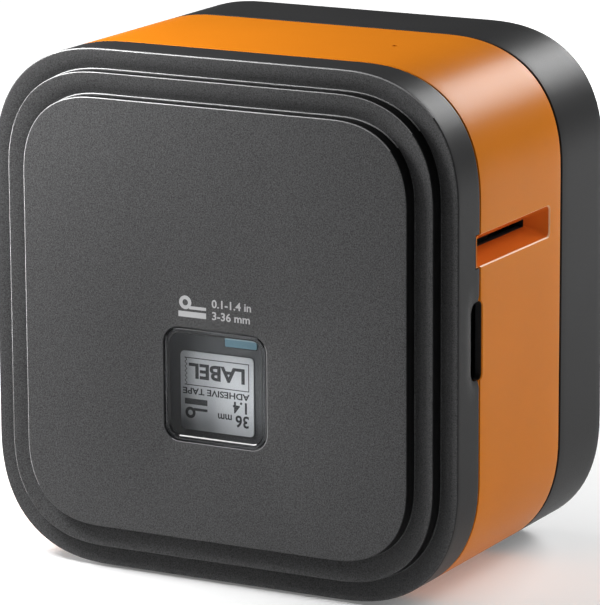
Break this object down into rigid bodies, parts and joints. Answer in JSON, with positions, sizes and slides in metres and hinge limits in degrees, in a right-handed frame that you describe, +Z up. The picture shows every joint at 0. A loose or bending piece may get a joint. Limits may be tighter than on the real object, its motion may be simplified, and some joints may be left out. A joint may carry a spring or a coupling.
{
  "type": "label maker",
  "caption": "Cube-shaped laminated-tape label maker with a stepped hinged front cover, small window, coloured band, side tape exit and powered cutter.",
  "frame": {"origin": "bottom centre of the bounding box, on the surface the feet stand on", "axes": "+X to the right seen from the front cover, +Y to the back, +Z up"},
  "size_m": [0.133, 0.0922, 0.1362],
  "materials": {
    "cover_grey": "fine matte grain, dark grey",
    "band_orange": "satin orange plastic",
    "shell_grey": "satin dark grey plastic",
    "window_clear": "clear glossy pane",
    "cassette_smoke": "smoked glossy plastic",
    "label_paper": "matt printed paper",
    "rubber": "black rubber",
    "steel": "brushed steel",
    "aluminium": "extruded aluminium",
    "frame_black": "black moulded plastic",
    "ceramic_white": "glazed white ceramic",
    "gear_white": "natural acetal",
    "tape_blue": "light blue tape edges",
    "film_clear": "wound clear film",
    "ribbon_black": "black ink ribbon",
    "board_green": "solder mask",
    "battery_wrap": "shrink wrap",
    "light_pipe": "clear light pipe"
  },
  "bodies": {
    "root": {"band_housing": "band_orange", "rear_shell": "shell_grey", "foot_1": "rubber", "foot_2": "rubber", "foot_3": "rubber", "foot_4": "rubber", "case_screw_1": "steel", "case_screw_2": "steel", "case_screw_3": "steel", "case_screw_4": "steel", "chassis": "frame_black", "cassette_case": "cassette_smoke", "cassette_lid": "cassette_smoke", "cassette_label": "label_paper", "print_head": "ceramic_white", "heat_sink": "aluminium", "drive_motor": "steel", "cutter_motor": "steel", "cutter_frame": "frame_black", "fixed_blade": "steel", "blade_pivot_pin": "steel", "main_board": "board_green", "battery_pack": "battery_wrap", "charging_socket": "steel", "status_light_pipe": "light_pipe", "power_switch": "frame_black", "cover_switch": "frame_black", "latch_catch": "frame_black", "arm_pivot_pin": "steel", "arm_spring": "steel", "hinge_pin": "steel", "hinge_bracket": "frame_black", "idler_shaft": "steel"},
    "cover": {"front_cover": "cover_grey", "cover_window": "window_clear", "hinge_arm_lower": "frame_black", "hinge_arm_upper": "frame_black", "latch_tab": "frame_black", "press_bar": "rubber"},
    "roller_arm": {"roller_arm": "frame_black"},
    "platen": {"platen_roller": "rubber"},
    "pinch": {"pinch_roller": "rubber"},
    "tape_drive": {"tape_drive_gear": "gear_white", "tape_drive_shaft": "steel", "tape_drive_roller": "rubber"},
    "idler": {"idler_gear": "gear_white"},
    "take_up": {"take_up_gear": "gear_white", "take_up_shaft": "steel", "ribbon_take_up_spool": "ribbon_black"},
    "motor_rotor": {"motor_pinion": "gear_white", "motor_shaft": "steel"},
    "tape_spool": {"tape_roll": "tape_blue", "tape_core": "gear_white"},
    "film_spool": {"film_roll": "film_clear"},
    "ribbon_spool": {"ribbon_supply_roll": "ribbon_black"},
    "blade": {"moving_blade": "steel"},
    "cutter_rotor": {"cutter_pinion": "gear_white"},
    "button": {"power_button": "shell_grey"}
  },
  "joints": [
    {"name": "cover_hinge", "type": "hinge", "parent": "root", "child": "cover", "pos_m": [-0.0615, -0.02225, 0.06845], "axis": [0, 0, -1], "range_deg": [0, 100]},
    {"name": "roller_arm_pivot", "type": "hinge", "parent": "root", "child": "roller_arm", "pos_m": [0.008, -0.015, 0.112], "axis": [0, -1, 0], "range_deg": [0, 7]},
    {"name": "platen_spin", "type": "hinge", "parent": "roller_arm", "child": "platen", "pos_m": [0.028, -0.013, 0.0976], "axis": [0, 1, 0], "continuous": true},
    {"name": "pinch_spin", "type": "hinge", "parent": "roller_arm", "child": "pinch", "pos_m": [0.04, -0.013, 0.0961], "axis": [0, 1, 0], "continuous": true},
    {"name": "tape_drive_spin", "type": "hinge", "parent": "root", "child": "tape_drive", "pos_m": [0.04, -0.013, 0.0865], "axis": [0, 1, 0], "continuous": true},
    {"name": "idler_spin", "type": "hinge", "parent": "root", "child": "idler", "pos_m": [0.02348, 0.015, 0.07243], "axis": [0, 1, 0], "continuous": true},
    {"name": "take_up_spin", "type": "hinge", "parent": "root", "child": "take_up", "pos_m": [0.004, -0.013, 0.082], "axis": [0, 1, 0], "continuous": true},
    {"name": "motor_spin", "type": "hinge", "parent": "root", "child": "motor_rotor", "pos_m": [0.01948, 0.015, 0.05601], "axis": [0, 1, 0], "continuous": true},
    {"name": "tape_roll_spin", "type": "hinge", "parent": "root", "child": "tape_spool", "pos_m": [0, -0.013, 0.048], "axis": [0, 1, 0], "continuous": true},
    {"name": "film_roll_spin", "type": "hinge", "parent": "root", "child": "film_spool", "pos_m": [-0.03, -0.013, 0.08], "axis": [0, 1, 0], "continuous": true},
    {"name": "ribbon_supply_spin", "type": "hinge", "parent": "root", "child": "ribbon_spool", "pos_m": [0.033, -0.013, 0.062], "axis": [0, 1, 0], "continuous": true},
    {"name": "cutter_blade_pivot", "type": "hinge", "parent": "root", "child": "blade", "pos_m": [0.0541, 0.0065, 0.0904], "axis": [1, 0, 0], "range_deg": [0, 16]},
    {"name": "cutter_motor_spin", "type": "hinge", "parent": "root", "child": "cutter_rotor", "pos_m": [0.0541, 0.0065, 0.0675], "axis": [1, 0, 0], "range_deg": [-60, 0]},
    {"name": "power_button_press", "type": "slide", "parent": "root", "child": "button", "axis": [1, 0, 0], "range_m": [0, 0.0006], "stiffness_N_per_m": 400, "springref_m": -0.0006}
  ],
  "couplings": [
    {"joint": "roller_arm_pivot", "follows": "cover_hinge", "ratio": 0.07},
    {"joint": "platen_spin", "follows": "tape_drive_spin", "ratio": -0.85454},
    {"joint": "pinch_spin", "follows": "tape_drive_spin", "ratio": -1.175},
    {"joint": "idler_spin", "follows": "tape_drive_spin", "ratio": -0.8},
    {"joint": "take_up_spin", "follows": "tape_drive_spin", "ratio": 1},
    {"joint": "motor_spin", "follows": "tape_drive_spin", "ratio": 2},
    {"joint": "tape_roll_spin", "follows": "tape_drive_spin", "ratio": -0.26111},
    {"joint": "film_roll_spin", "follows": "tape_drive_spin", "ratio": 0.36154},
    {"joint": "ribbon_supply_spin", "follows": "tape_drive_spin", "ratio": -0.5875},
    {"joint": "cutter_motor_spin", "follows": "cutter_blade_pivot", "ratio": -3.75}
  ]
}
